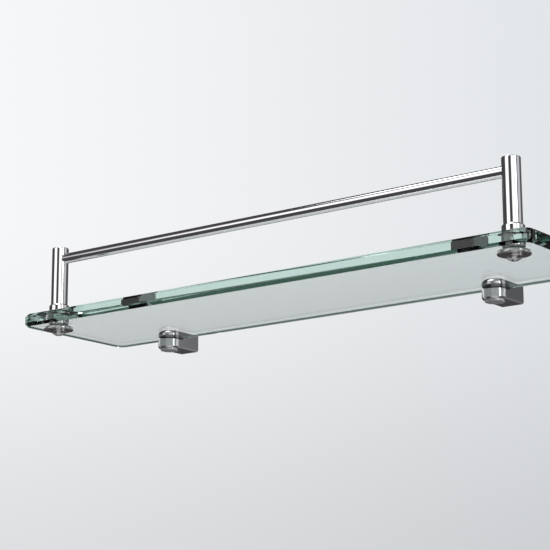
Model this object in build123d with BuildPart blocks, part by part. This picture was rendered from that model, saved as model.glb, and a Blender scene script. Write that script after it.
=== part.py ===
from build123d import *
from math import pi
import os

# Glass wall shelf with a guard rail, held by two D-shaped wall clamps.
#
# Frame, in millimetres: X runs along the shelf, +Y points into the wall and +Z is up.
# The origin lies on the wall's surface, at the middle of the pane's length and level
# with the underside of the glass.

# ---- glass pane ----
shelf_length = 455.0
shelf_depth = 118.0
glass_thickness = 10.0
glass_corner_radius = 9.0
glass_bevel = 2.2
wall_gap = 20.5              # from the pane's back edge to the wall

# ---- posts and guard rail ----
post_diameter = 13.0
post_top_height = 54.0       # above the glass
post_edge_round = 0.5
post_inset_x = 22.5          # from the pane's end to the post's axis
post_inset_y = 20.0          # from the pane's front edge to the post's axis
rail_diameter = 8.0
rail_wall = 1.0
rail_below_top = 9.0         # from the post's flat top down to the rail's axis
rail_socket_floor = 1.5      # metal left between the socket's floor and the post's axis

# ---- foot of each post ----
collar_wall = 1.25
collar_height = 7.2
collar_floor = 2.0
collar_bevel = 1.0
gasket_thickness = 0.8
gasket_setback = 0.4         # soft rings stop this far inside the metal that covers them
washer_diameter = 23.0
washer_thickness = 1.8
washer_round = 0.7
sleeve_wall = 1.35

# ---- post screw, M6 with a domed head ----
post_thread_diameter = 6.0
post_screw_engagement = 12.0
post_tap_spare = 3.0         # the tapped hole goes on past the screw's tip
post_head_diameter = 11.6
post_head_rim = 1.0
post_head_dome = 3.3

# ---- wall clamps ----
clamp_inset_left = 58.0      # from the pane's left end to the left clamp's middle
clamp_inset_right = 91.5     # from the pane's right end to the right clamp's middle
clamp_width = 18.8
clamp_axis_from_wall = 25.0  # middle of the round nose, and axis of the clamp screw
lower_jaw = 7.1
upper_jaw = 4.2
jaw_clearance = 0.4          # between the lower jaw and the glass
clamp_under_bevel = 1.1
clamp_top_round = 3.6
liner_thickness = 1.0
liner_setback = 0.5

# ---- clamp screw, M8 with a fine pitch, and its pressure pad ----
clamp_thread_diameter = 8.0
clamp_thread_pitch = 1.0
clamp_travel = 1.5           # how far the pad backs away from the glass
disc_rim = 2.1               # from the clamp's side to the disc's edge
disc_thickness = 2.6
disc_proud = 1.6             # the disc stands this far below the clamp
disc_side_gap = 0.45
disc_recess_spare = 0.2
disc_edge_round = 0.3
disc_notch_radius = 1.2
pad_thickness = 1.6
pad_stem_diameter = 2.9
pad_stem_length = 1.5
pad_stem_spare = 0.3

# ---- room in each clamp for a pan-head wall screw ----
wall_screw_diameter = 4.8
wall_head_diameter = 8.4
wall_head_room = 4.0         # depth of the counterbore, from the slot's back face

# ---- cross recess of the post screws ----
recess_arm_width = 1.3
recess_depth = 2.2
recess_share = 0.55          # the recess's span as a share of the head
recess_taper = 8.0           # degrees

# ---- fits, all radial ----
thread_clearance = 0.05
socket_clearance = 0.02
sleeve_clearance = 0.05
wall_hole_clearance = 0.3
head_clearance = 0.4

# ---- places worked out from the sizes above ----
glass_back_y = -wall_gap
glass_front_y = glass_back_y - shelf_depth
glass_middle_y = glass_back_y - shelf_depth / 2
glass_top_z = glass_thickness

post_radius = post_diameter / 2
post_y = glass_front_y + post_inset_y
post_x = shelf_length / 2 - post_inset_x
collar_foot_z = glass_top_z + gasket_thickness
collar_radius = post_radius + collar_wall
post_foot_z = collar_foot_z + collar_floor
post_top_z = glass_top_z + post_top_height
rail_z = post_top_z - rail_below_top
rail_radius = rail_diameter / 2
rail_end_x = post_x - rail_socket_floor

post_thread_radius = post_thread_diameter / 2
screw_hole_radius = post_thread_radius + thread_clearance
sleeve_radius = screw_hole_radius + sleeve_wall
washer_top_z = -gasket_thickness
washer_foot_z = washer_top_z - washer_thickness
post_screw_tip_z = post_foot_z + post_screw_engagement

slot_floor_z = -jaw_clearance
slot_roof_z = glass_top_z + liner_thickness
slot_back_y = glass_back_y + liner_thickness
slot_height = slot_roof_z - slot_floor_z
slot_middle_z = (slot_floor_z + slot_roof_z) / 2
clamp_foot_z = slot_floor_z - lower_jaw
clamp_top_z = slot_roof_z + upper_jaw
clamp_radius = clamp_width / 2
clamp_axis_y = -clamp_axis_from_wall

disc_radius = clamp_radius - disc_rim
disc_foot_z = clamp_foot_z - disc_proud
disc_top_z = disc_foot_z + disc_thickness
disc_recess_depth = disc_top_z - clamp_foot_z + disc_recess_spare
clamp_thread_radius = clamp_thread_diameter / 2
clamp_screw_tip_z = -pad_thickness
pad_stem_radius = pad_stem_diameter / 2

sides = {"left": -1, "right": 1}
post_places = {side: sign * post_x for side, sign in sides.items()}
clamp_places = {
    "left": -shelf_length / 2 + clamp_inset_left,
    "right": shelf_length / 2 - clamp_inset_right,
}


def save(part, name):
    """Label one finished piece and write it as its own STEP file."""
    part.label = name
    export_step(part, f"parts/{name}.step")


def d_outline(x, radius):
    """Draw the clamp's outline: straight sides from the wall, then a half-round nose."""
    nose = (x, clamp_axis_y - radius)
    left_back = (x - radius, 0)
    right_back = (x + radius, 0)
    left_shoulder = (x - radius, clamp_axis_y)
    right_shoulder = (x + radius, clamp_axis_y)
    with BuildLine() as outline:
        Line(left_back, left_shoulder)
        ThreePointArc(left_shoulder, nose, right_shoulder)
        Polyline(right_shoulder, right_back, left_back)
    return outline.line


def ring(x, y, foot_z, height, outer_radius, inner_radius):
    """Make a plain upright ring."""
    with BuildPart() as body:
        with BuildSketch(Plane.XY.offset(foot_z)):
            with Locations((x, y)):
                Circle(outer_radius)
                Circle(inner_radius, mode=Mode.SUBTRACT)
        extrude(amount=height)
    return body.part


def cross_recess(head_plane, span):
    """Make the shape of a cross recess, sunk from the plane of a screw's head."""
    with BuildPart() as recess:
        with BuildSketch(head_plane):
            Rectangle(span, recess_arm_width)
            Rectangle(recess_arm_width, span)
        extrude(amount=-recess_depth, taper=recess_taper)
    return recess.part


os.makedirs("parts", exist_ok=True)

# ---- glass pane: bevelled all round, one drilled hole under each post ----
with BuildPart() as glass_shelf:
    with BuildSketch():
        with Locations((0, glass_middle_y)):
            RectangleRounded(shelf_length, shelf_depth, glass_corner_radius)
    extrude(amount=glass_thickness)
    rims = glass_shelf.edges().group_by(Axis.Z)
    chamfer(rims[0] + rims[-1], glass_bevel)
    with Locations(*[(x, post_y, glass_top_z) for x in post_places.values()]):
        Hole(sleeve_radius + sleeve_clearance)
save(glass_shelf.part, "glass_shelf")

# ---- guard rail: a tube whose ends sit in blind sockets in the posts ----
with BuildPart() as guard_rail:
    with BuildSketch(Plane.YZ.offset(-rail_end_x)):
        with Locations((post_y, rail_z)):
            Circle(rail_radius)
            Circle(rail_radius - rail_wall, mode=Mode.SUBTRACT)
    extrude(amount=2 * rail_end_x)
save(guard_rail.part, "guard_rail")

for side, x in post_places.items():
    inward = -sides[side]

    # Post: flat top, blind side socket for the rail, tapped from below.
    with BuildPart() as rail_post:
        with BuildSketch(Plane.XY.offset(post_foot_z)):
            with Locations((x, post_y)):
                Circle(post_radius)
        extrude(amount=post_top_z - post_foot_z)
        fillet(rail_post.edges().sort_by(Axis.Z)[-1], post_edge_round)
        with BuildSketch(Plane.YZ.offset(x + inward * rail_socket_floor)):
            with Locations((post_y, rail_z)):
                Circle(rail_radius + socket_clearance)
        extrude(amount=inward * post_radius, mode=Mode.SUBTRACT)
        with BuildSketch(Plane.XY.offset(post_foot_z)):
            with Locations((x, post_y)):
                Circle(screw_hole_radius)
        extrude(amount=post_screw_engagement + post_tap_spare, mode=Mode.SUBTRACT)
    save(rail_post.part, f"rail_post_{side}")

    # Collar: a shallow bevelled cup that the post's foot stands in.
    with BuildPart() as post_collar:
        with BuildSketch(Plane.XY.offset(collar_foot_z)):
            with Locations((x, post_y)):
                Circle(collar_radius)
        extrude(amount=collar_height)
        chamfer(post_collar.edges().sort_by(Axis.Z)[-1], collar_bevel)
        with BuildSketch(Plane.XY.offset(post_foot_z)):
            with Locations((x, post_y)):
                Circle(post_radius + socket_clearance)
        extrude(amount=collar_height, mode=Mode.SUBTRACT)
        with Locations((x, post_y, post_foot_z)):
            Hole(screw_hole_radius)
    save(post_collar.part, f"post_collar_{side}")

    upper_gasket = ring(x, post_y, glass_top_z, gasket_thickness,
                        collar_radius - gasket_setback, screw_hole_radius)
    save(upper_gasket, f"upper_gasket_{side}")

    hole_sleeve = ring(x, post_y, 0, glass_thickness, sleeve_radius, screw_hole_radius)
    save(hole_sleeve, f"hole_sleeve_{side}")

    lower_gasket = ring(x, post_y, washer_top_z, gasket_thickness,
                        washer_diameter / 2 - gasket_setback, screw_hole_radius)
    save(lower_gasket, f"lower_gasket_{side}")

    # Washer: wide and flat, its lower rim rounded.
    with BuildPart() as under_washer:
        with BuildSketch(Plane.XY.offset(washer_foot_z)):
            with Locations((x, post_y)):
                Circle(washer_diameter / 2)
        extrude(amount=washer_thickness)
        fillet(under_washer.edges().sort_by(Axis.Z)[0], washer_round)
        with Locations((x, post_y, washer_top_z)):
            Hole(screw_hole_radius)
    save(under_washer.part, f"under_washer_{side}")

    # Post screw: a straight shank under a domed head with a cross recess.
    head_radius = post_head_diameter / 2
    head_foot_z = washer_foot_z - post_head_rim - post_head_dome
    with BuildPart() as post_screw:
        with BuildSketch(Plane(origin=(x, post_y, 0), x_dir=(1, 0, 0), z_dir=(0, -1, 0))):
            with BuildLine():
                pole = (0, head_foot_z)
                rim = (head_radius, washer_foot_z - post_head_rim)
                TangentArc(pole, rim, tangent=(1, 0))
                Polyline(rim, (head_radius, washer_foot_z), (post_thread_radius, washer_foot_z),
                         (post_thread_radius, post_screw_tip_z), (0, post_screw_tip_z), pole)
            make_face()
        revolve(axis=Axis((x, post_y, 0), (0, 0, 1)))
        head_plane = Plane(origin=(x, post_y, head_foot_z), z_dir=(0, 0, -1))
        add(cross_recess(head_plane, post_head_diameter * recess_share), mode=Mode.SUBTRACT)
    save(post_screw.part, f"post_screw_{side}")

for side, x in clamp_places.items():
    # Clamp body: one casting, slotted for the pane, with the wall screw's hole through
    # the web behind the slot and the clamp screw's thread in the lower jaw.
    with BuildPart() as clamp_body:
        with BuildSketch(Plane.XY.offset(clamp_foot_z)):
            add(d_outline(x, clamp_radius))
            make_face()
        extrude(amount=clamp_top_z - clamp_foot_z)
        levels = clamp_body.edges().group_by(Axis.Z)
        under_edges = levels[0].sort_by(Axis.Y)[:-1]
        top_edges = levels[-1].sort_by(Axis.Y)[:-1]
        chamfer(under_edges, clamp_under_bevel)
        fillet(top_edges, clamp_top_round)
        slot_length = clamp_axis_from_wall + clamp_width
        with BuildSketch(Plane.XY.offset(slot_floor_z)):
            with Locations((x, slot_back_y - slot_length / 2)):
                Rectangle(2 * clamp_width, slot_length)
        extrude(amount=slot_height, mode=Mode.SUBTRACT)
        with Locations(Plane(origin=(x, slot_back_y, slot_middle_z), z_dir=(0, -1, 0))):
            CounterBoreHole(
                radius=wall_screw_diameter / 2 + wall_hole_clearance,
                counter_bore_radius=wall_head_diameter / 2 + head_clearance,
                counter_bore_depth=wall_head_room,
            )
        with Locations(Plane(origin=(x, clamp_axis_y, clamp_foot_z), z_dir=(0, 0, -1))):
            CounterBoreHole(
                radius=clamp_thread_radius + thread_clearance,
                counter_bore_radius=disc_radius + disc_side_gap,
                counter_bore_depth=disc_recess_depth,
                depth=lower_jaw + slot_height / 2,
            )
    save(clamp_body.part, f"clamp_body_{side}")

    # Slot liner: a soft sheet over the pane, turned down behind the pane's back edge.
    with BuildPart() as slot_liner:
        with BuildSketch(Plane.XY.offset(glass_top_z)):
            add(d_outline(x, clamp_radius - liner_setback))
            make_face()
            with Locations((x, slot_back_y)):
                Rectangle(2 * clamp_width, 2 * wall_gap, align=(Align.CENTER, Align.MIN),
                          mode=Mode.SUBTRACT)
        extrude(amount=liner_thickness)
        with BuildSketch(Plane.XY.offset(slot_floor_z)):
            with Locations((x, slot_back_y)):
                Rectangle(clamp_width - 2 * liner_setback, liner_thickness,
                          align=(Align.CENTER, Align.MAX))
        extrude(amount=slot_height)
    save(slot_liner.part, f"slot_liner_{side}")

    # Clamp screw: a broad flat disc on a short thread, bored for the pad's stem and
    # notched at its rim for a pin key.
    with BuildPart() as clamp_screw:
        with BuildSketch(Plane.XY.offset(disc_foot_z)):
            with Locations((x, clamp_axis_y)):
                Circle(disc_radius)
        extrude(amount=disc_thickness)
        fillet(clamp_screw.edges().sort_by(Axis.Z)[0], disc_edge_round)
        with BuildSketch(Plane.XY.offset(disc_foot_z)):
            with Locations((x - disc_radius, clamp_axis_y), (x + disc_radius, clamp_axis_y)):
                Circle(disc_notch_radius)
        extrude(amount=disc_thickness, mode=Mode.SUBTRACT)
        with BuildSketch(Plane.XY.offset(disc_top_z)):
            with Locations((x, clamp_axis_y)):
                Circle(clamp_thread_radius)
        extrude(amount=clamp_screw_tip_z - disc_top_z)
        with Locations((x, clamp_axis_y, clamp_screw_tip_z)):
            Hole(pad_stem_radius + thread_clearance, depth=pad_stem_length + pad_stem_spare)
    save(clamp_screw.part, f"clamp_screw_{side}")

    # Pressure pad: a soft button on the screw's tip.
    with BuildPart() as pressure_pad:
        with BuildSketch(Plane.XY.offset(clamp_screw_tip_z)):
            with Locations((x, clamp_axis_y)):
                Circle(clamp_thread_radius)
        extrude(amount=pad_thickness)
        with BuildSketch(Plane.XY.offset(clamp_screw_tip_z)):
            with Locations((x, clamp_axis_y)):
                Circle(pad_stem_radius)
        extrude(amount=-pad_stem_length)
    save(pressure_pad.part, f"pressure_pad_{side}")

turns = clamp_travel / clamp_thread_pitch
print(f"clamp screw: {turns:.2f} turns for {clamp_travel} mm")
print(f"pad travel per radian: {clamp_thread_pitch / (2 * pi):.6f} mm")
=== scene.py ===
"""A glass wall shelf with a chrome guard rail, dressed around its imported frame."""

import logging
import math
from dataclasses import dataclass, field
from enum import Enum

import bmesh
import bpy
from mathutils import Matrix, Vector


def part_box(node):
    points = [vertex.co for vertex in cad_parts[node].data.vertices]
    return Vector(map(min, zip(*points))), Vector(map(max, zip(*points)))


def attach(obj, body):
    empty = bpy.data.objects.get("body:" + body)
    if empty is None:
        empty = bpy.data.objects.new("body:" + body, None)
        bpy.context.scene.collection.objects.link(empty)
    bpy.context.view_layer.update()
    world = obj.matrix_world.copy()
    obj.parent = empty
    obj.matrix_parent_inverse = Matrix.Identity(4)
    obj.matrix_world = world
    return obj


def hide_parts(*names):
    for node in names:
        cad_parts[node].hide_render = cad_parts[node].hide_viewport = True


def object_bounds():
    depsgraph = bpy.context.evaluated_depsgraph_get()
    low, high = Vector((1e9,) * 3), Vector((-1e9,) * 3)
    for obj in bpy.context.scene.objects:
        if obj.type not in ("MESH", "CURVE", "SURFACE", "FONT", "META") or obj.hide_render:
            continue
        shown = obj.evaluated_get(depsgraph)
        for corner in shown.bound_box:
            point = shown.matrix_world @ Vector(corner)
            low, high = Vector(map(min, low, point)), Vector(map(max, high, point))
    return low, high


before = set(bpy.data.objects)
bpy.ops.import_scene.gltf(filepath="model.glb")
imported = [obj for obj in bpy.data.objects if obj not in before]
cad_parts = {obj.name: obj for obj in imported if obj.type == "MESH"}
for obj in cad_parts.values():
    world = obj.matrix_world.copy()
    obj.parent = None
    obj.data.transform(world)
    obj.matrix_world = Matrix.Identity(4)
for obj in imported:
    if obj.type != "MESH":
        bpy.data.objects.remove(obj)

CAD_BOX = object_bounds()
LOG = logging.getLogger("wall_shelf")
MM = 0.001
WELD = 0.002 * MM              # points this close after a cut become one
SHARP_TURN = math.radians(32.0)
FLAT_FACE_WEIGHT = 80
CUTTER_SEGMENTS = 96
ALL_BOUNCES = 40               # light goes up and down many times inside the pane
GLASS_BOUNCES = 32
MIRROR_BOUNCES = 16

Colour = tuple[float, float, float]


class Side(Enum):
    """The two ends of the shelf, as seen from the room."""

    LEFT = "left"
    RIGHT = "right"

    def node(self, base: str) -> str:
        """Name the frame node of a part that is fitted at this end."""
        return f"{base}_{self.value}"


# ---------------------------------------------------------------- node wiring


class Wiring:
    """Places and joins the nodes of one material, world or shader node group."""

    def __init__(self, tree: bpy.types.NodeTree) -> None:
        """Start wiring an empty tree.

        Args:
            tree: the node tree that the nodes go into.
        """
        self.tree = tree
        tree.nodes.clear()

    def add(self, kind: str, **settings: object) -> bpy.types.Node:
        """Place one node.

        Args:
            kind: the node's type, without the leading "ShaderNode".
            **settings: properties to set on it.

        Returns:
            The new node.
        """
        node = self.tree.nodes.new(kind if kind.startswith("Node") else f"ShaderNode{kind}")
        for name, value in settings.items():
            setattr(node, name, value)
        return node

    def feed(self, socket: bpy.types.NodeSocket, value: object) -> None:
        """Join an output to a socket, or set the socket to a plain value.

        Args:
            socket: the input to fill.
            value: an output socket, a number, or a colour or vector.
        """
        if isinstance(value, bpy.types.NodeSocket):
            self.tree.links.new(value, socket)
        elif isinstance(value, tuple) and len(value) == 3 and socket.type == "RGBA":
            socket.default_value = (*value, 1.0)
        else:
            socket.default_value = value

    def math(self, operation: str, *values: object, clamp: bool = False) -> bpy.types.NodeSocket:
        """Place a Math node.

        Args:
            operation: the name of the sum.
            *values: its inputs, in order.
            clamp: keep the result from 0 to 1.

        Returns:
            The result.
        """
        node = self.add("Math", operation=operation, use_clamp=clamp)
        for socket, value in zip(node.inputs, values):
            self.feed(socket, value)
        return node.outputs[0]

    def vector(self, operation: str, *values: object) -> bpy.types.NodeSocket:
        """Place a Vector Math node.

        Args:
            operation: the name of the sum.
            *values: its inputs, in order.

        Returns:
            The vector, or the number for a length or a dot product.
        """
        node = self.add("VectorMath", operation=operation)
        for socket, value in zip(node.inputs, values):
            self.feed(socket, value)
        scalar = operation in ("LENGTH", "DOT_PRODUCT", "DISTANCE")
        return node.outputs["Value" if scalar else "Vector"]

    def span(self, value: object, low: object, high: object, start: object = 0.0,
             end: object = 1.0, smooth: bool = True) -> bpy.types.NodeSocket:
        """Stretch a value from one range onto another, held at the ends.

        Args:
            value: what to stretch.
            low: the value that gives start.
            high: the value that gives end.
            start: the result at low.
            end: the result at high.
            smooth: ease in and out of the two ends.

        Returns:
            The result.
        """
        node = self.add("MapRange", interpolation_type="SMOOTHSTEP" if smooth else "LINEAR")
        for name, given in zip(("Value", "From Min", "From Max", "To Min", "To Max"),
                               (value, low, high, start, end)):
            self.feed(node.inputs[name], given)
        return node.outputs[0]

    def mix(self, factor: object, first: object, second: object) -> bpy.types.NodeSocket:
        """Mix two colours.

        Args:
            factor: 0 for the first, 1 for the second.
            first: a colour.
            second: a colour.

        Returns:
            The mixed colour.
        """
        node = self.add("Mix", data_type="RGBA")
        self.feed(node.inputs[0], factor)
        self.feed(node.inputs[6], first)
        self.feed(node.inputs[7], second)
        return node.outputs[2]

    def noise(self, vector: object, scale: object, detail: float = 3.0,
              roughness: float = 0.5) -> bpy.types.NodeSocket:
        """Place a noise texture.

        Args:
            vector: where to read it.
            scale: features per metre.
            detail: octaves.
            roughness: how strong the fine octaves are.

        Returns:
            The noise, about 0 to 1.
        """
        node = self.add("TexNoise")
        self.feed(node.inputs["Vector"], vector)
        self.feed(node.inputs["Scale"], scale)
        self.feed(node.inputs["Detail"], detail)
        self.feed(node.inputs["Roughness"], roughness)
        return node.outputs[0]

    def place(self) -> bpy.types.NodeSocket:
        """Give the surface point in the object's own metres."""
        return self.add("TexCoord").outputs["Object"]

    def group(self, tree: bpy.types.NodeTree, **inputs: object) -> bpy.types.Node:
        """Place a shader node group.

        Args:
            tree: the group.
            **inputs: its inputs by name, with _ for a space.

        Returns:
            The group node.
        """
        node = self.add("Group")
        node.node_tree = tree
        for name, value in inputs.items():
            self.feed(node.inputs[name.replace("_", " ")], value)
        return node


class EffectGroup:
    """A shader node group with named sockets, built once and shared by materials."""

    made: dict[str, bpy.types.NodeTree] = {}

    def __init__(self, name: str, inputs: dict[str, tuple[str, object]],
                 outputs: dict[str, str]) -> None:
        """Make the group's sockets.

        Args:
            name: the group's name.
            inputs: socket name to its kind (Float, Vector or Color) and first value.
            outputs: socket name to its kind.
        """
        tree = bpy.data.node_groups.new(name, "ShaderNodeTree")
        self.wiring = Wiring(tree)
        for label, (kind, value) in inputs.items():
            made = tree.interface.new_socket(label, in_out="INPUT", socket_type=f"NodeSocket{kind}")
            if value is not None:
                made.default_value = value
        for label, kind in outputs.items():
            tree.interface.new_socket(label, in_out="OUTPUT", socket_type=f"NodeSocket{kind}")
        self.inputs = self.wiring.add("NodeGroupInput").outputs
        self.outputs = self.wiring.add("NodeGroupOutput").inputs
        EffectGroup.made[name] = tree

    def put(self, name: str, value: object) -> None:
        """Join a value to one of the group's outputs."""
        self.wiring.feed(self.outputs[name], value)


def fine_scratches() -> bpy.types.NodeTree:
    """Make the hairline wiping scratches that polished metal and glass collect.

    Returns:
        A group that turns a place into a scratch mask and a height.
    """
    if "Fine scratches" in EffectGroup.made:
        return EffectGroup.made["Fine scratches"]
    group = EffectGroup(
        "Fine scratches",
        {"Place": ("Vector", None), "Scale": ("Float", 900.0), "Sparseness": ("Float", 0.62)},
        {"Mask": "Float", "Height": "Float"})
    w = group.wiring
    total = None
    for turn, stretch in ((0.35, 22.0), (1.25, 16.0), (2.4, 19.0)):
        turned = w.add("VectorRotate", rotation_type="EULER_XYZ")
        w.feed(turned.inputs["Vector"], group.inputs["Place"])
        turned.inputs["Rotation"].default_value = (turn, turn * 0.6, turn * 1.7)
        drawn = w.vector("MULTIPLY", turned.outputs[0], (1.0, stretch, stretch))
        lines = w.noise(drawn, w.math("MULTIPLY", group.inputs["Scale"], 0.1), 2.0, 0.6)
        kept = w.span(lines, group.inputs["Sparseness"],
                      w.math("ADD", group.inputs["Sparseness"], 0.1))
        total = kept if total is None else w.math("MAXIMUM", total, kept)
    group.put("Mask", total)
    group.put("Height", w.math("MULTIPLY", total, -1.0))
    return w.tree


def handling_marks() -> bpy.types.NodeTree:
    """Make the soft smudges and dried drops that hands and steam leave.

    Returns:
        A group that turns a place into a smudge mask and a drop mask.
    """
    if "Handling marks" in EffectGroup.made:
        return EffectGroup.made["Handling marks"]
    group = EffectGroup(
        "Handling marks",
        {"Place": ("Vector", None), "Smudge Scale": ("Float", 45.0),
         "Drop Scale": ("Float", 160.0), "Coverage": ("Float", 0.45)},
        {"Smudge": "Float", "Drops": "Float"})
    w = group.wiring
    cloud = w.noise(group.inputs["Place"], group.inputs["Smudge Scale"], 5.0, 0.62)
    low = w.math("SUBTRACT", 0.75, w.math("MULTIPLY", group.inputs["Coverage"], 0.5))
    group.put("Smudge", w.span(cloud, low, w.math("ADD", low, 0.22)))
    cells = w.add("TexVoronoi", feature="F1")
    w.feed(cells.inputs["Vector"], group.inputs["Place"])
    w.feed(cells.inputs["Scale"], group.inputs["Drop Scale"])
    ring_in = w.span(cells.outputs["Distance"], 0.10, 0.16)
    ring_out = w.span(cells.outputs["Distance"], 0.16, 0.20, 1.0, 0.0)
    few = w.span(w.noise(group.inputs["Place"], 30.0, 1.0), 0.55, 0.62)
    group.put("Drops", w.math("MULTIPLY", w.math("MULTIPLY", ring_in, ring_out), few))
    return w.tree


def turned_lines() -> bpy.types.NodeTree:
    """Make the fine rings that a lathe tool leaves round an upright axis.

    Returns:
        A group that turns box coordinates into a ring mask and a height.
    """
    if "Turned lines" in EffectGroup.made:
        return EffectGroup.made["Turned lines"]
    group = EffectGroup(
        "Turned lines",
        {"Box Place": ("Vector", None), "Rings": ("Float", 60.0), "Waver": ("Float", 0.15)},
        {"Mask": "Float", "Height": "Float"})
    w = group.wiring
    centred = w.vector("MULTIPLY", w.vector("SUBTRACT", group.inputs["Box Place"], (0.5, 0.5, 0.5)),
                       (1.0, 1.0, 0.0))
    radius = w.vector("LENGTH", centred)
    waver = w.math("MULTIPLY", w.noise(group.inputs["Box Place"], 6.0, 2.0), group.inputs["Waver"])
    phase = w.math("ADD", w.math("MULTIPLY", radius, group.inputs["Rings"]), waver)
    line = w.add("TexNoise", noise_dimensions="1D")
    w.feed(line.inputs["W"], phase)
    w.feed(line.inputs["Scale"], 2.0)
    w.feed(line.inputs["Detail"], 4.0)
    mask = w.span(line.outputs[0], 0.35, 0.65)
    group.put("Mask", mask)
    group.put("Height", mask)
    return w.tree


# ---------------------------------------------------------------- finishes


@dataclass(frozen=True)
class Finish:
    """What every finish shares: a name, and a Principled shader to set up."""

    name: str

    def start(self) -> tuple[bpy.types.Material, Wiring, bpy.types.Node]:
        """Make the empty material.

        Returns:
            The material, its wiring and its Principled node, joined to the output.
        """
        material = bpy.data.materials.new(self.name)
        material.use_nodes = True
        w = Wiring(material.node_tree)
        shader = w.add("BsdfPrincipled")
        out = w.add("OutputMaterial")
        w.feed(out.inputs["Surface"], shader.outputs[0])
        return material, w, shader


@dataclass(frozen=True)
class PolishedMetal(Finish):
    """A bright plated or polished metal with wiping scratches and hand marks."""

    tint: Colour = (0.90, 0.90, 0.915)
    dull_tint: Colour = (0.80, 0.81, 0.84)
    gloss_roughness: float = 0.035
    worn_roughness: float = 0.16
    scratch_scale: float = 900.0
    scratch_depth: float = 0.012
    smudge_coverage: float = 0.4

    def make(self) -> bpy.types.Material:
        """Build the material.

        Returns:
            The finished material.
        """
        material, w, shader = self.start()
        place = w.place()
        scratches = w.group(fine_scratches(), Place=place, Scale=self.scratch_scale)
        marks = w.group(handling_marks(), Place=place, Coverage=self.smudge_coverage)
        dull = w.math("MAXIMUM", w.math("MULTIPLY", marks.outputs["Smudge"], 0.5),
                      w.math("MULTIPLY", marks.outputs["Drops"], 0.7))
        w.feed(shader.inputs["Base Color"], w.mix(dull, self.tint, self.dull_tint))
        shader.inputs["Metallic"].default_value = 1.0
        worn = w.math("MAXIMUM", dull, w.math("MULTIPLY", scratches.outputs["Mask"], 0.45))
        w.feed(shader.inputs["Roughness"],
               w.span(worn, 0.0, 1.0, self.gloss_roughness, self.worn_roughness, smooth=False))
        bump = w.add("Bump")
        bump.inputs["Strength"].default_value = self.scratch_depth
        bump.inputs["Distance"].default_value = 0.0002
        w.feed(bump.inputs["Height"], scratches.outputs["Height"])
        w.feed(shader.inputs["Normal"], bump.outputs[0])
        return material


@dataclass(frozen=True)
class TurnedMetal(Finish):
    """A machined metal with the rings of its turning, and a little wear."""

    tint: Colour = (0.70, 0.70, 0.69)
    dull_tint: Colour = (0.55, 0.55, 0.55)
    smooth_roughness: float = 0.18
    line_roughness: float = 0.34
    rings: float = 60.0
    ring_depth: float = 0.15
    smudge_coverage: float = 0.5

    def make(self) -> bpy.types.Material:
        """Build the material.

        Returns:
            The finished material.
        """
        material, w, shader = self.start()
        coordinates = w.add("TexCoord")
        lines = w.group(turned_lines(), Box_Place=coordinates.outputs["Generated"], Rings=self.rings)
        marks = w.group(handling_marks(), Place=coordinates.outputs["Object"],
                        Coverage=self.smudge_coverage, Smudge_Scale=220.0)
        scratches = w.group(fine_scratches(), Place=coordinates.outputs["Object"], Scale=2600.0)
        dull = w.math("ADD", w.math("MULTIPLY", lines.outputs["Mask"], 0.4),
                      w.math("MULTIPLY", marks.outputs["Smudge"], 0.5), clamp=True)
        w.feed(shader.inputs["Base Color"], w.mix(dull, self.tint, self.dull_tint))
        shader.inputs["Metallic"].default_value = 1.0
        worn = w.math("MAXIMUM", dull, scratches.outputs["Mask"])
        w.feed(shader.inputs["Roughness"],
               w.span(worn, 0.0, 1.0, self.smooth_roughness, self.line_roughness, smooth=False))
        bump = w.add("Bump")
        bump.inputs["Strength"].default_value = self.ring_depth
        bump.inputs["Distance"].default_value = 0.0001
        w.feed(bump.inputs["Height"], lines.outputs["Height"])
        w.feed(shader.inputs["Normal"], bump.outputs[0])
        return material


@dataclass(frozen=True)
class FloatGlass(Finish):
    """Clear float glass that is green through its length, with a few wipe marks."""

    absorbed: Colour = (0.12, 0.42, 0.33)
    density: float = 6.5
    marked_roughness: float = 0.035

    def make(self) -> bpy.types.Material:
        """Build the material.

        Returns:
            The finished material.
        """
        material, w, shader = self.start()
        place = w.place()
        marks = w.group(handling_marks(), Place=place, Coverage=0.35, Smudge_Scale=22.0,
                        Drop_Scale=120.0)
        scratches = w.group(fine_scratches(), Place=place, Scale=260.0, Sparseness=0.70)
        shader.inputs["Base Color"].default_value = (0.985, 1.0, 0.995, 1.0)
        shader.inputs["Transmission Weight"].default_value = 1.0
        shader.inputs["IOR"].default_value = 1.52
        worn = w.math("MAXIMUM", w.math("MULTIPLY", marks.outputs["Smudge"], 0.25),
                      w.math("MAXIMUM", w.math("MULTIPLY", marks.outputs["Drops"], 0.6),
                             w.math("MULTIPLY", scratches.outputs["Mask"], 0.35)))
        w.feed(shader.inputs["Roughness"],
               w.math("MULTIPLY", worn, self.marked_roughness))
        bump = w.add("Bump")
        bump.inputs["Strength"].default_value = 0.01
        bump.inputs["Distance"].default_value = 0.0001
        w.feed(bump.inputs["Height"], scratches.outputs["Height"])
        w.feed(shader.inputs["Normal"], bump.outputs[0])
        soak = w.add("VolumeAbsorption")
        soak.inputs["Color"].default_value = (*self.absorbed, 1.0)
        soak.inputs["Density"].default_value = self.density
        out = next(n for n in material.node_tree.nodes if n.bl_idname == "ShaderNodeOutputMaterial")
        w.feed(out.inputs["Volume"], soak.outputs[0])
        return material


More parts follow.
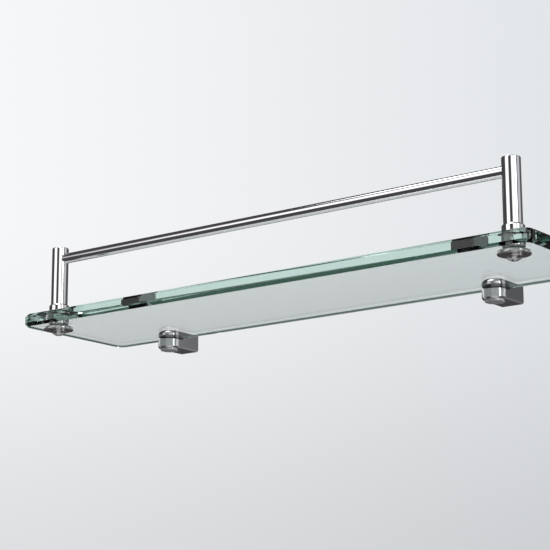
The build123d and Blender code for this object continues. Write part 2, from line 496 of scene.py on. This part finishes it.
@dataclass(frozen=True)
class SoftPlastic(Finish):
    """Rubber, vinyl or nylon: a moulded surface with a fine grain and dust."""

    tint: Colour = (0.03, 0.033, 0.035)
    dust_tint: Colour = (0.16, 0.16, 0.155)
    roughness: float = 0.55
    rough_spread: float = 0.2
    grain_scale: float = 5000.0
    grain_depth: float = 0.2
    milkiness: float = 0.0

    def make(self) -> bpy.types.Material:
        """Build the material.

        Returns:
            The finished material.
        """
        material, w, shader = self.start()
        place = w.place()
        marks = w.group(handling_marks(), Place=place, Coverage=0.6, Smudge_Scale=300.0)
        grain = w.noise(place, self.grain_scale, 3.0, 0.6)
        w.feed(shader.inputs["Base Color"],
               w.mix(w.math("MULTIPLY", marks.outputs["Smudge"], 0.45), self.tint, self.dust_tint))
        w.feed(shader.inputs["Roughness"],
               w.span(grain, 0.2, 0.8, self.roughness - self.rough_spread / 2,
                      self.roughness + self.rough_spread / 2))
        if self.milkiness > 0.0:
            shader.inputs["Transmission Weight"].default_value = 1.0 - self.milkiness
            shader.inputs["IOR"].default_value = 1.5
        bump = w.add("Bump")
        bump.inputs["Strength"].default_value = self.grain_depth
        bump.inputs["Distance"].default_value = 0.00005
        w.feed(bump.inputs["Height"], grain)
        w.feed(shader.inputs["Normal"], bump.outputs[0])
        return material


@dataclass
class Finishes:
    """The finishes of the whole shelf, each built once."""

    chrome: bpy.types.Material = field(init=False)
    satin_chrome: bpy.types.Material = field(init=False)
    stainless: bpy.types.Material = field(init=False)
    glass: bpy.types.Material = field(init=False)
    screw_steel: bpy.types.Material = field(init=False)
    gasket: bpy.types.Material = field(init=False)
    liner: bpy.types.Material = field(init=False)
    vinyl: bpy.types.Material = field(init=False)

    def __post_init__(self) -> None:
        """Build the materials."""
        self.chrome = PolishedMetal("Polished chrome").make()
        self.satin_chrome = TurnedMetal("Satin chrome", tint=(0.90, 0.90, 0.91),
                                        dull_tint=(0.76, 0.76, 0.77), smooth_roughness=0.36,
                                        line_roughness=0.5, rings=40.0).make()
        self.stainless = TurnedMetal("Turned stainless", tint=(0.76, 0.76, 0.75),
                                     smooth_roughness=0.09, line_roughness=0.2,
                                     ring_depth=0.06).make()
        self.screw_steel = PolishedMetal("Polished screw steel", tint=(0.80, 0.80, 0.79),
                                         dull_tint=(0.62, 0.62, 0.61), gloss_roughness=0.08,
                                         worn_roughness=0.22).make()
        self.glass = FloatGlass("Green float glass").make()
        self.gasket = SoftPlastic("Black gasket rubber").make()
        self.liner = SoftPlastic("Green-black liner", tint=(0.035, 0.06, 0.05),
                                 dust_tint=(0.12, 0.16, 0.14), roughness=0.4).make()
        self.vinyl = SoftPlastic("Clear soft vinyl", tint=(0.78, 0.85, 0.82),
                                 dust_tint=(0.6, 0.64, 0.6), roughness=0.35,
                                 milkiness=0.45).make()


def dress(piece: bpy.types.Object, finish: bpy.types.Material) -> None:
    """Give a piece one finish all over.

    Args:
        piece: the object to dress.
        finish: its material.
    """
    if not piece.data.materials:
        piece.data.materials.append(finish)
    for slot in piece.material_slots:
        slot.material = finish
    LOG.info("%s dressed in %s", piece.name, finish.name)


# ---------------------------------------------------------------- mesh making

Outline = list[tuple[float, float]]


def soft_corner(before: tuple[float, float], corner: tuple[float, float],
                after: tuple[float, float], radius: float, steps: int = 6) -> Outline:
    """Round one corner of an outline.

    Args:
        before: the point before the corner.
        corner: the corner.
        after: the point after it.
        radius: the arc's radius.
        steps: straight pieces in the arc.

    Returns:
        The arc's points.
    """
    corner_at = Vector(corner)
    to_before = (Vector(before) - corner_at).normalized()
    to_after = (Vector(after) - corner_at).normalized()
    half = to_before.angle(to_after) / 2
    centre = corner_at + (to_before + to_after).normalized() * (radius / math.sin(half))
    start = corner_at + to_before * (radius / math.tan(half)) - centre
    end = corner_at + to_after * (radius / math.tan(half)) - centre
    sweep = start.angle_signed(end)
    points = []
    for step in range(steps + 1):
        turned = start.copy()
        turned.rotate(Matrix.Rotation(-sweep * step / steps, 2))
        points.append(tuple(centre + turned))
    return points


def softened(outline: Outline, radii: dict[int, float]) -> Outline:
    """Round some corners of an outline.

    Args:
        outline: its corners.
        radii: the radius for each rounded corner, by its place in the outline.

    Returns:
        The outline with arcs.
    """
    made: Outline = []
    for index, corner in enumerate(outline):
        if index in radii:
            made += soft_corner(outline[index - 1], corner, outline[index + 1], radii[index])
        else:
            made.append(corner)
    return made


def new_piece(name: str, shape: bmesh.types.BMesh) -> bpy.types.Object:
    """Turn a worked mesh into an object, with its face normals recalculated.

    Args:
        name: the piece's name.
        shape: the worked mesh, which is freed.

    Returns:
        The object.
    """
    bmesh.ops.recalc_face_normals(shape, faces=shape.faces)
    mesh = bpy.data.meshes.new(name)
    shape.to_mesh(mesh)
    shape.free()
    piece = bpy.data.objects.new(name, mesh)
    bpy.context.scene.collection.objects.link(piece)
    return piece


def crisp(piece: bpy.types.Object) -> None:
    """Shade a piece smooth, and leave its real edges sharp."""
    mesh = piece.data
    mesh.shade_smooth()
    mesh.set_sharp_from_angle(angle=SHARP_TURN)
    weighted = piece.modifiers.new("flat faces stay flat", "WEIGHTED_NORMAL")
    weighted.keep_sharp = True
    weighted.weight = FLAT_FACE_WEIGHT


def turned(name: str, outline: Outline, foot: Vector, along: Vector, closed: bool = False,
           segments: int = 144) -> bpy.types.Object:
    """Turn an outline round an axis, as on a lathe.

    Args:
        name: the piece's name.
        outline: radius and place along the axis, point by point.
        foot: where the axis starts.
        along: the axis's direction.
        closed: the last point joins the first, as on a ring.
        segments: faces round the axis.

    Returns:
        The turned piece.
    """
    shape = bmesh.new()
    axis = along.normalized()
    out = axis.orthogonal().normalized()
    side = axis.cross(out)
    turns = [math.tau * step / segments for step in range(segments)]
    spokes = [out * math.cos(turn) + side * math.sin(turn) for turn in turns]
    rings = []
    for radius, place in outline:
        middle = foot + axis * place
        if radius > 0.0:
            rings.append([shape.verts.new(middle + spoke * radius) for spoke in spokes])
        else:
            rings.append([shape.verts.new(middle)] * segments)
    bands = list(zip(rings, rings[1:]))
    if closed:
        bands.append((rings[-1], rings[0]))
    for low, high in bands:
        for index in range(segments):
            after = (index + 1) % segments
            corners = dict.fromkeys((low[index], low[after], high[after], high[index]))
            shape.faces.new(tuple(corners))
    return new_piece(name, shape)


def stacked(name: str, loops: list[list[Vector]]) -> bpy.types.Object:
    """Skin a stack of loops that have the same number of points, and close both ends.

    Args:
        name: the piece's name.
        loops: the loops, from the bottom up.

    Returns:
        The skinned piece.
    """
    shape = bmesh.new()
    rows = [[shape.verts.new(point) for point in loop] for loop in loops]
    for low, high in zip(rows, rows[1:]):
        for index in range(len(low)):
            after = (index + 1) % len(low)
            shape.faces.new((low[index], low[after], high[after], high[index]))
    shape.faces.new(list(reversed(rows[0])))
    shape.faces.new(rows[-1])
    return new_piece(name, shape)


def block(low: Vector, high: Vector) -> bpy.types.Object:
    """Make a plain block for cutting with.

    Args:
        low: its lowest corner.
        high: its highest corner.

    Returns:
        The block.
    """
    corners = [(low.x, low.y), (high.x, low.y), (high.x, high.y), (low.x, high.y)]
    return stacked("cutter", [[Vector((x, y, z)) for x, y in corners] for z in (low.z, high.z)])


def rod(foot: Vector, along: Vector, radius: float) -> bpy.types.Object:
    """Make a plain rod for cutting with.

    Args:
        foot: the middle of one end.
        along: from that end to the other.
        radius: its radius.

    Returns:
        The rod.
    """
    length = along.length
    return turned("cutter", [(0.0, 0.0), (radius, 0.0), (radius, length), (0.0, length)],
                  foot, along, segments=CUTTER_SEGMENTS)


def cut(piece: bpy.types.Object, *cutters: bpy.types.Object) -> None:
    """Cut some shapes out of a piece, and throw the cutters away.

    Args:
        piece: what is cut.
        *cutters: what is taken out.
    """
    for cutter in cutters:
        step = piece.modifiers.new("cut", "BOOLEAN")
        step.object = cutter
        step.operation = "DIFFERENCE"
        step.solver = "EXACT"
    graph = bpy.context.evaluated_depsgraph_get()
    mesh = bpy.data.meshes.new_from_object(piece.evaluated_get(graph))
    piece.modifiers.clear()
    shape = bmesh.new()
    shape.from_mesh(mesh)
    bmesh.ops.remove_doubles(shape, verts=shape.verts, dist=WELD)
    bmesh.ops.dissolve_degenerate(shape, edges=shape.edges, dist=WELD)
    shape.to_mesh(mesh)
    shape.free()
    piece.data = mesh
    for cutter in cutters:
        bpy.data.objects.remove(cutter)


# ---------------------------------------------------------------- sub-assemblies


@dataclass
class Fitting:
    """What every sub-assembly shares: the finishes, and how its pieces join the frame."""

    finishes: Finishes

    def fit(self, piece: bpy.types.Object, node: str, body: str, slot: str,
            finish: bpy.types.Material) -> None:
        """Dress a new piece and let it stand for its frame node.

        Args:
            piece: the new piece.
            node: the frame node that it stands for.
            body: the frame body that it moves with.
            slot: the record's finish for it; not used.
            finish: its material.
        """
        crisp(piece)
        dress(piece, finish)
        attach(piece, body)
        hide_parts(node)

    def keep(self, node: str, finish: bpy.types.Material) -> None:
        """Dress a frame node that keeps its own shape."""
        dress(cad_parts[node], finish)


def middle_of(node: str) -> Vector:
    """Give the middle of a frame node's box."""
    low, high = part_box(node)
    return (low + high) / 2


@dataclass
class GlassPane(Fitting):
    """The pane of glass, ground flat with a polished bevel all round."""

    corner: float = 9.0 * MM
    bevel: float = 2.2 * MM
    corner_steps: int = 24
    hole_gap: float = 0.05 * MM

    def outline(self, inset: float, height: float) -> list[Vector]:
        """Draw the pane's rounded outline at one height.

        Args:
            inset: how far the outline stays inside the pane's edge.
            height: the loop's height.

        Returns:
            The loop's points.
        """
        low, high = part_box("glass_shelf")
        radius = self.corner - inset
        points = []
        for quarter, (x, y) in enumerate(((high.x - self.corner, high.y - self.corner),
                                          (low.x + self.corner, high.y - self.corner),
                                          (low.x + self.corner, low.y + self.corner),
                                          (high.x - self.corner, low.y + self.corner))):
            for step in range(self.corner_steps + 1):
                turn = math.pi / 2 * (quarter + step / self.corner_steps)
                points.append(Vector((x + radius * math.cos(turn), y + radius * math.sin(turn),
                                      height)))
        return points

    def build(self) -> None:
        """Grind the pane, drill it for the post screws and dress it."""
        low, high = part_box("glass_shelf")
        levels = ((self.bevel, low.z), (0.0, low.z + self.bevel), (0.0, high.z - self.bevel),
                  (self.bevel, high.z))
        pane = stacked("glass_pane", [self.outline(inset, height) for inset, height in levels])
        holes = []
        for side in Side:
            sleeve_low, sleeve_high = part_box(side.node("hole_sleeve"))
            middle = (sleeve_low + sleeve_high) / 2
            radius = (sleeve_high.x - sleeve_low.x) / 2 + self.hole_gap
            foot = Vector((middle.x, middle.y, low.z - self.bevel))
            holes.append(rod(foot, Vector((0.0, 0.0, high.z - low.z + 2 * self.bevel)), radius))
        cut(pane, *holes)
        self.fit(pane, "glass_shelf", "shelf", "clear_glass", self.finishes.glass)


@dataclass
class GuardRail(Fitting):
    """The tube that runs between the posts."""

    wall: float = 1.0 * MM
    end_round: float = 0.25 * MM

    def build(self) -> None:
        """Draw the tube and dress it."""
        low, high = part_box("guard_rail")
        radius = (high.z - low.z) / 2
        length = high.x - low.x
        inner = radius - self.wall
        outline = [(inner, 0.0), (radius, 0.0), (radius, length), (inner, length)]
        outline = softened(outline, {1: self.end_round, 2: self.end_round})
        foot = Vector((low.x, (low.y + high.y) / 2, (low.z + high.z) / 2))
        tube = turned("rail_tube", outline, foot, Vector((1.0, 0.0, 0.0)), closed=True)
        self.fit(tube, "guard_rail", "shelf", "polished_chrome", self.finishes.chrome)


@dataclass
class PostFoot(Fitting):
    """One post with its collar, rings, washer and screw."""

    side: Side
    top_round: float = 0.55 * MM
    collar_bevel: float = 1.0 * MM
    mouth_bevel: float = 0.3 * MM
    bevel_round: float = 0.12 * MM
    screw_hole: float = 3.05 * MM
    washer_round: float = 0.7 * MM
    washer_upper_round: float = 0.25 * MM
    head_rim: float = 1.0 * MM
    head_rim_round: float = 0.3 * MM
    shank: float = 3.0 * MM
    recess_arm: float = 1.3 * MM
    recess_depth: float = 2.2 * MM
    recess_share: float = 0.55
    recess_reach: float = 1.0 * MM
    dome_steps: int = 20
    screw_segments: int = 96

    def post(self) -> None:
        """Turn the post, flat on top with a broken edge."""
        node = self.side.node("rail_post")
        low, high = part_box(node)
        radius = (high.x - low.x) / 2
        length = high.z - low.z
        outline = softened([(0.0, 0.0), (radius, 0.0), (radius, length), (0.0, length)],
                           {1: self.mouth_bevel, 2: self.top_round})
        middle = middle_of(node)
        piece = turned(f"post_{self.side.value}", outline, Vector((middle.x, middle.y, low.z)),
                       Vector((0.0, 0.0, 1.0)))
        self.fit(piece, node, "shelf", "polished_chrome", self.finishes.chrome)

    def collar(self) -> None:
        """Turn the collar: a cup with a bevelled lip that the post stands in."""
        node = self.side.node("post_collar")
        low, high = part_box(node)
        post_low, post_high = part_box(self.side.node("rail_post"))
        bore = (post_high.x - post_low.x) / 2 + 0.02 * MM
        radius = (high.x - low.x) / 2
        height = high.z - low.z
        floor = post_low.z - low.z
        lip = radius - self.collar_bevel
        outline = [(self.screw_hole, 0.0), (radius, 0.0), (radius, height - self.collar_bevel),
                   (lip, height), (bore + self.mouth_bevel / 2, height),
                   (bore, height - self.mouth_bevel), (bore, floor), (self.screw_hole, floor)]
        rounds = {1: self.bevel_round, 2: self.bevel_round, 3: self.bevel_round / 2}
        middle = middle_of(node)
        piece = turned(f"collar_{self.side.value}", softened(outline, rounds),
                       Vector((middle.x, middle.y, low.z)), Vector((0.0, 0.0, 1.0)), closed=True)
        self.fit(piece, node, "shelf", "polished_chrome", self.finishes.chrome)

    def washer(self) -> None:
        """Turn the wide washer under the pane."""
        node = self.side.node("under_washer")
        low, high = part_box(node)
        radius = (high.x - low.x) / 2
        height = high.z - low.z
        outline = [(self.screw_hole, 0.0), (radius, 0.0), (radius, height),
                   (self.screw_hole, height)]
        rounds = {1: self.washer_round, 2: self.washer_upper_round}
        middle = middle_of(node)
        piece = turned(f"washer_{self.side.value}", softened(outline, rounds),
                       Vector((middle.x, middle.y, low.z)), Vector((0.0, 0.0, 1.0)), closed=True)
        self.fit(piece, node, "shelf", "stainless", self.finishes.stainless)

    def screw(self) -> None:
        """Turn the screw with its domed head, and sink the cross recess in it."""
        node = self.side.node("post_screw")
        low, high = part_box(node)
        radius = (high.x - low.x) / 2
        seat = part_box(self.side.node("under_washer"))[0].z - low.z
        rim = seat - self.head_rim
        ball = (radius ** 2 + rim ** 2) / (2 * rim)
        reach = math.asin(radius / ball)
        last = self.dome_steps
        dome = [(ball * math.sin(reach * k / last), ball * (1 - math.cos(reach * k / last)))
                for k in range(last + 1)]
        length = high.z - low.z
        outline = [*dome, (radius, seat), (self.shank, seat), (self.shank, length),
                   (0.0, length)]
        middle = middle_of(node)
        foot = Vector((middle.x, middle.y, low.z))
        rounds = {last: self.head_rim_round, last + 1: self.head_rim_round / 2}
        piece = turned(f"screw_{self.side.value}", softened(outline, rounds), foot,
                       Vector((0.0, 0.0, 1.0)), segments=self.screw_segments)
        half_span = radius * self.recess_share
        half_arm = self.recess_arm / 2
        arms = [block(foot - Vector((x, y, self.recess_reach)), foot + Vector((x, y, self.recess_depth)))
                for x, y in ((half_span, half_arm), (half_arm, half_span))]
        cut(piece, *arms)
        self.fit(piece, node, "shelf", "stainless", self.finishes.screw_steel)

    def build(self) -> None:
        """Make the post and what holds it, and dress the soft rings."""
        self.post()
        self.collar()
        self.washer()
        self.screw()
        self.keep(self.side.node("upper_gasket"), self.finishes.gasket)
        self.keep(self.side.node("hole_sleeve"), self.finishes.vinyl)
        self.keep(self.side.node("lower_gasket"), self.finishes.vinyl)


@dataclass
class WallClamp(Fitting):
    """One D-shaped clamp with its liner, screw and pressure pad."""

    side: Side
    nose_steps: int = 72
    under_bevel: float = 1.1 * MM
    foot_round: float = 0.15 * MM
    top_round: float = 3.6 * MM
    jaw_clearance: float = 0.4 * MM
    liner: float = 1.0 * MM
    thread: float = 4.05 * MM
    disc_thickness: float = 2.6 * MM
    disc_gap: float = 0.45 * MM
    disc_spare: float = 0.2 * MM
    screw_hole: float = 2.7 * MM
    head_hole: float = 4.6 * MM
    head_room: float = 4.0 * MM

    def loop(self, middle: Vector, axis_y: float, radius: float, height: float) -> list[Vector]:
        """Draw the D outline at one height.

        Args:
            middle: the clamp's middle, of which the place along the shelf counts.
            axis_y: where the round nose has its middle.
            radius: half the outline's width.
            height: the loop's height.

        Returns:
            The loop's points.
        """
        points = [Vector((middle.x + radius, 0.0, height))]
        for step in range(self.nose_steps + 1):
            turn = math.pi * step / self.nose_steps
            points.append(Vector((middle.x + radius * math.cos(turn),
                                  axis_y - radius * math.sin(turn), height)))
        points.append(Vector((middle.x - radius, 0.0, height)))
        return list(reversed(points))

    def body(self) -> None:
        """Cast the clamp: a D-shaped block with a soft top, slotted for the pane."""
        node = self.side.node("clamp_body")
        low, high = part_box(node)
        disc_low, disc_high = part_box(self.side.node("clamp_screw"))
        pane_low, pane_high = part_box("glass_shelf")
        middle = (low + high) / 2
        radius = (high.x - low.x) / 2
        axis_y = low.y + radius
        fine = self.foot_round
        wall = [(radius - self.under_bevel, low.z), (radius, low.z + self.under_bevel),
                (radius, high.z), (radius - self.top_round, high.z)]
        wall = softened(wall, {1: fine, 2: self.top_round - fine})[:-1]
        loops = [self.loop(middle, axis_y, wide, height) for wide, height in wall]
        piece = stacked(f"clamp_{self.side.value}", loops)

        slot_floor = -self.jaw_clearance
        slot_roof = pane_high.z + self.liner
        slot_back = pane_high.y + self.liner
        reach = 2 * radius
        slot = block(Vector((middle.x - reach, low.y - reach, slot_floor)),
                     Vector((middle.x + reach, slot_back, slot_roof)))
        disc_radius = (disc_high.x - disc_low.x) / 2
        disc_top = disc_low.z + self.disc_thickness
        foot = Vector((middle.x, axis_y, low.z))
        under = Vector((0.0, 0.0, -reach))
        recess = rod(foot + under, Vector((0.0, 0.0, disc_top + self.disc_spare - low.z + reach)),
                     disc_radius + self.disc_gap)
        thread = rod(foot + under, Vector((0.0, 0.0, reach + slot_roof - low.z - self.liner)),
                     self.thread)
        bore_at = Vector((middle.x, slot_back, (slot_floor + slot_roof) / 2))
        ahead = Vector((0.0, reach, 0.0))
        head = rod(bore_at - ahead / 2, ahead / 2 + Vector((0.0, self.head_room, 0.0)),
                   self.head_hole)
        shank = rod(bore_at - ahead / 2, ahead * 2, self.screw_hole)
        cut(piece, slot, recess, thread, head, shank)
        self.fit(piece, node, "shelf", "polished_chrome", self.finishes.chrome)

    def build(self) -> None:
        """Make the clamp body, and dress its liner, screw and pad."""
        self.body()
        self.keep(self.side.node("slot_liner"), self.finishes.liner)
        self.keep(self.side.node("clamp_screw"), self.finishes.satin_chrome)
        self.keep(self.side.node("pressure_pad"), self.finishes.vinyl)


# ---------------------------------------------------------------- studio


@dataclass(frozen=True)
class SoftBox:
    """A soft bright panel of the studio, placed by its bearing and height.

    Bearings are in degrees from the camera's side of the object, to the right positive.
    """

    bearing: float
    half_width: float
    low: float
    high: float
    level: float
    colour: Colour = (1.0, 1.0, 1.0)
    side_softness: float = 7.0
    edge_softness: float = 8.0


@dataclass
class Studio:
    """The plain pale floor, the backdrop and the soft lights."""

    facing: float
    floor_drop: float = 0.6
    floor_radius: float = 6.0
    floor_glow: float = 0.28
    fade_start: float = 0.9
    fade_end: float = 3.2
    boxes: tuple[SoftBox, ...] = (
        SoftBox(-61.0, 19.0, 3.0, 42.0, 1.3),
        SoftBox(9.0, 17.0, -4.0, 38.0, 1.3, (1.0, 0.99, 0.98)),
        SoftBox(5.0, 60.0, 46.0, 95.0, 0.24, (0.94, 1.0, 0.98)),
        SoftBox(5.0, 42.0, -60.0, -8.0, 0.34),
        SoftBox(82.0, 18.0, -25.0, 50.0, 0.52, (0.97, 0.96, 1.0), 6.0),
        SoftBox(118.0, 16.0, -25.0, 50.0, 0.045, (0.80, 1.0, 0.98), 6.0),
        SoftBox(180.0, 50.0, -66.0, -28.0, 0.34, (0.97, 0.99, 1.0), 14.0),
        SoftBox(-180.0, 50.0, -66.0, -28.0, 0.34, (0.97, 0.99, 1.0), 14.0),
        SoftBox(0.0, 190.0, -95.0, -68.0, 0.38, (1.0, 1.0, 1.0), 4.0),
    )
    room_level: float = 0.06
    green_shade: Colour = (0.10, 0.17, 0.14)
    calm_light: Colour = (0.34, 0.36, 0.36)
    glass_lift: float = 1.28
    below_glass_share: float = 0.40
    right_pale: Colour = (0.74, 0.765, 0.79)
    left_pale: Colour = (0.955, 0.96, 0.97)
    low_backdrop: float = 0.78
    shade_from: float = 24.0
    shade_to: float = 34.0
    front_from: float = 108.0
    front_to: float = 122.0

    def world(self) -> None:
        """Build the backdrop that is looked at, and the soft boxes that light and reflect."""
        world = bpy.data.worlds.new("Studio")
        bpy.context.scene.world = world
        world.use_nodes = True
        w = Wiring(world.node_tree)
        turned = w.add("VectorRotate", rotation_type="Z_AXIS")
        w.feed(turned.inputs["Vector"], w.add("TexCoord").outputs["Generated"])
        turned.inputs["Angle"].default_value = -self.facing
        parts = w.add("SeparateXYZ")
        w.feed(parts.inputs[0], turned.outputs[0])
        to_right, ahead, up = parts.outputs
        bearing = w.math("DEGREES", w.math("ARCTAN2", to_right, w.math("MULTIPLY", ahead, -1.0)))
        height = w.math("DEGREES", w.math("ARCSINE", up))

        light = (self.room_level, self.room_level * 0.94, self.room_level)
        for box in self.boxes:
            off = w.math("ABSOLUTE", w.math("SUBTRACT", bearing, box.bearing))
            across = w.span(off, box.half_width - box.side_softness,
                            box.half_width + box.side_softness, 1.0, 0.0)
            above = w.span(height, box.low - box.edge_softness, box.low + box.edge_softness)
            below = w.span(height, box.high - box.edge_softness, box.high + box.edge_softness,
                           1.0, 0.0)
            share = w.math("MULTIPLY", across, w.math("MULTIPLY", above, below))
            panel = w.vector("SCALE", tuple(c * box.level for c in box.colour))
            w.feed(panel.node.inputs["Scale"], share)
            light = w.vector("ADD", panel, light)

        leftness = w.span(to_right, -0.30, 0.30, 1.0, 0.0)
        pale = w.mix(leftness, self.right_pale, self.left_pale)
        low_tone = w.span(height, 2.0, 15.0, self.low_backdrop, 1.0)
        backdrop = w.vector("SCALE", pale)
        w.feed(backdrop.node.inputs["Scale"], low_tone)
        above = w.span(height, self.shade_from, self.shade_to)
        behind = w.vector("SCALE", backdrop)
        w.feed(behind.node.inputs["Scale"],
               w.span(height, -6.0, 6.0, self.glass_lift * self.below_glass_share,
                      self.glass_lift))
        through = w.mix(above, behind, self.green_shade)
        front = w.span(w.math("ABSOLUTE", bearing), self.front_from, self.front_to, 1.0, 0.0)
        through = w.mix(front, through, self.calm_light)

        path = w.add("LightPath")
        lit = w.mix(path.outputs["Is Transmission Ray"], light, through)
        seen = w.mix(path.outputs["Is Camera Ray"], lit, backdrop)
        plain = w.add("Background")
        w.feed(plain.inputs["Color"], seen)
        w.feed(w.add("OutputWorld").inputs["Surface"], plain.outputs[0])

    def floor(self) -> None:
        """Lay the pale floor, fading into the backdrop far from the shelf."""
        bpy.ops.mesh.primitive_circle_add(vertices=96, radius=self.floor_radius, fill_type="NGON",
                                          location=(0.0, 0.0, -self.floor_drop))
        floor = bpy.context.object
        floor.name = "studio_floor"
        material = bpy.data.materials.new("Studio floor")
        material.use_nodes = True
        w = Wiring(material.node_tree)
        place = w.place()
        away = w.vector("LENGTH", place)
        speckle = w.noise(place, 90.0, 4.0)
        shader = w.add("BsdfPrincipled")
        seen = w.mix(w.math("MULTIPLY", speckle, 0.06), (0.80, 0.81, 0.82), (0.72, 0.73, 0.74))
        w.feed(shader.inputs["Base Color"], seen)
        w.feed(shader.inputs["Roughness"], w.span(speckle, 0.2, 0.8, 0.6, 0.75))
        shader.inputs["Emission Color"].default_value = (1.0, 1.0, 1.0, 1.0)
        shader.inputs["Emission Strength"].default_value = self.floor_glow
        clear = w.add("BsdfTransparent")
        mixed = w.add("MixShader")
        w.feed(mixed.inputs[0], w.span(away, self.fade_start, self.fade_end))
        w.feed(mixed.inputs[1], shader.outputs[0])
        w.feed(mixed.inputs[2], clear.outputs[0])
        w.feed(w.add("OutputMaterial").inputs["Surface"], mixed.outputs[0])
        floor.data.materials.append(material)
        floor.visible_glossy = False

    def lamp(self, name: str, place: Vector, aim: Vector, width: float, height: float,
             power: float) -> None:
        """Hang one soft area light.

        Args:
            name: its name.
            place: where it hangs.
            aim: the point that it faces.
            width: its width, in metres.
            height: its height, in metres.
            power: its power, in watts.
        """
        data = bpy.data.lights.new(name, "AREA")
        data.shape = "RECTANGLE"
        data.size, data.size_y = width, height
        data.energy = power
        lamp = bpy.data.objects.new(name, data)
        bpy.context.scene.collection.objects.link(lamp)
        lamp.location = place
        lamp.rotation_euler = (aim - place).to_track_quat("-Z", "Y").to_euler()

    def build(self) -> None:
        """Set up the whole studio."""
        self.world()
        self.floor()
        middle = (CAD_BOX[0] + CAD_BOX[1]) / 2
        self.lamp("top_soft_light", Vector((-0.3, -0.5, 1.7)), middle, 1.2, 0.9, 14.0)
        self.lamp("right_fill_light", Vector((1.6, -0.4, 0.6)), middle, 0.5, 1.2, 5.0)
        LOG.info("studio built")


@dataclass
class ShelfCamera:
    """The camera: below the shelf, to its right, looking up at it."""

    place: Vector = field(default_factory=lambda: Vector((0.75824, -1.11066, -0.27568)))
    yaw: float = math.radians(37.0555)
    pitch: float = math.radians(13.0284)
    roll: float = math.radians(-0.2218)
    lens: float = 116.02

    def build(self) -> None:
        """Place the camera and make it the scene's own."""
        forward = Vector((-math.sin(self.yaw) * math.cos(self.pitch),
                          math.cos(self.yaw) * math.cos(self.pitch), math.sin(self.pitch)))
        level = Vector((math.cos(self.yaw), math.sin(self.yaw), 0.0))
        upward = level.cross(forward)
        across = level * math.cos(self.roll) + upward * math.sin(self.roll)
        above = upward * math.cos(self.roll) - level * math.sin(self.roll)
        data = bpy.data.cameras.new("shelf_camera")
        data.lens = self.lens
        data.clip_start = 0.01
        camera = bpy.data.objects.new("shelf_camera", data)
        bpy.context.scene.collection.objects.link(camera)
        turn = Matrix((across, above, -forward)).transposed().to_4x4()
        camera.matrix_world = Matrix.Translation(self.place) @ turn
        bpy.context.scene.camera = camera
        LOG.info("camera placed")


def main() -> None:
    """Build and dress the shelf, then the studio around it."""
    logging.basicConfig(level=logging.INFO, format="%(name)s: %(message)s")
    finishes = Finishes()
    GlassPane(finishes).build()
    GuardRail(finishes).build()
    for side in Side:
        PostFoot(finishes, side).build()
        WallClamp(finishes, side).build()
    camera = ShelfCamera()
    Studio(facing=camera.yaw).build()
    camera.build()
    scene = bpy.context.scene
    scene.view_settings.view_transform = "Standard"
    scene.cycles.max_bounces = ALL_BOUNCES
    scene.cycles.transmission_bounces = GLASS_BOUNCES
    scene.cycles.glossy_bounces = MIRROR_BOUNCES


if __name__ == "__main__":
    main()
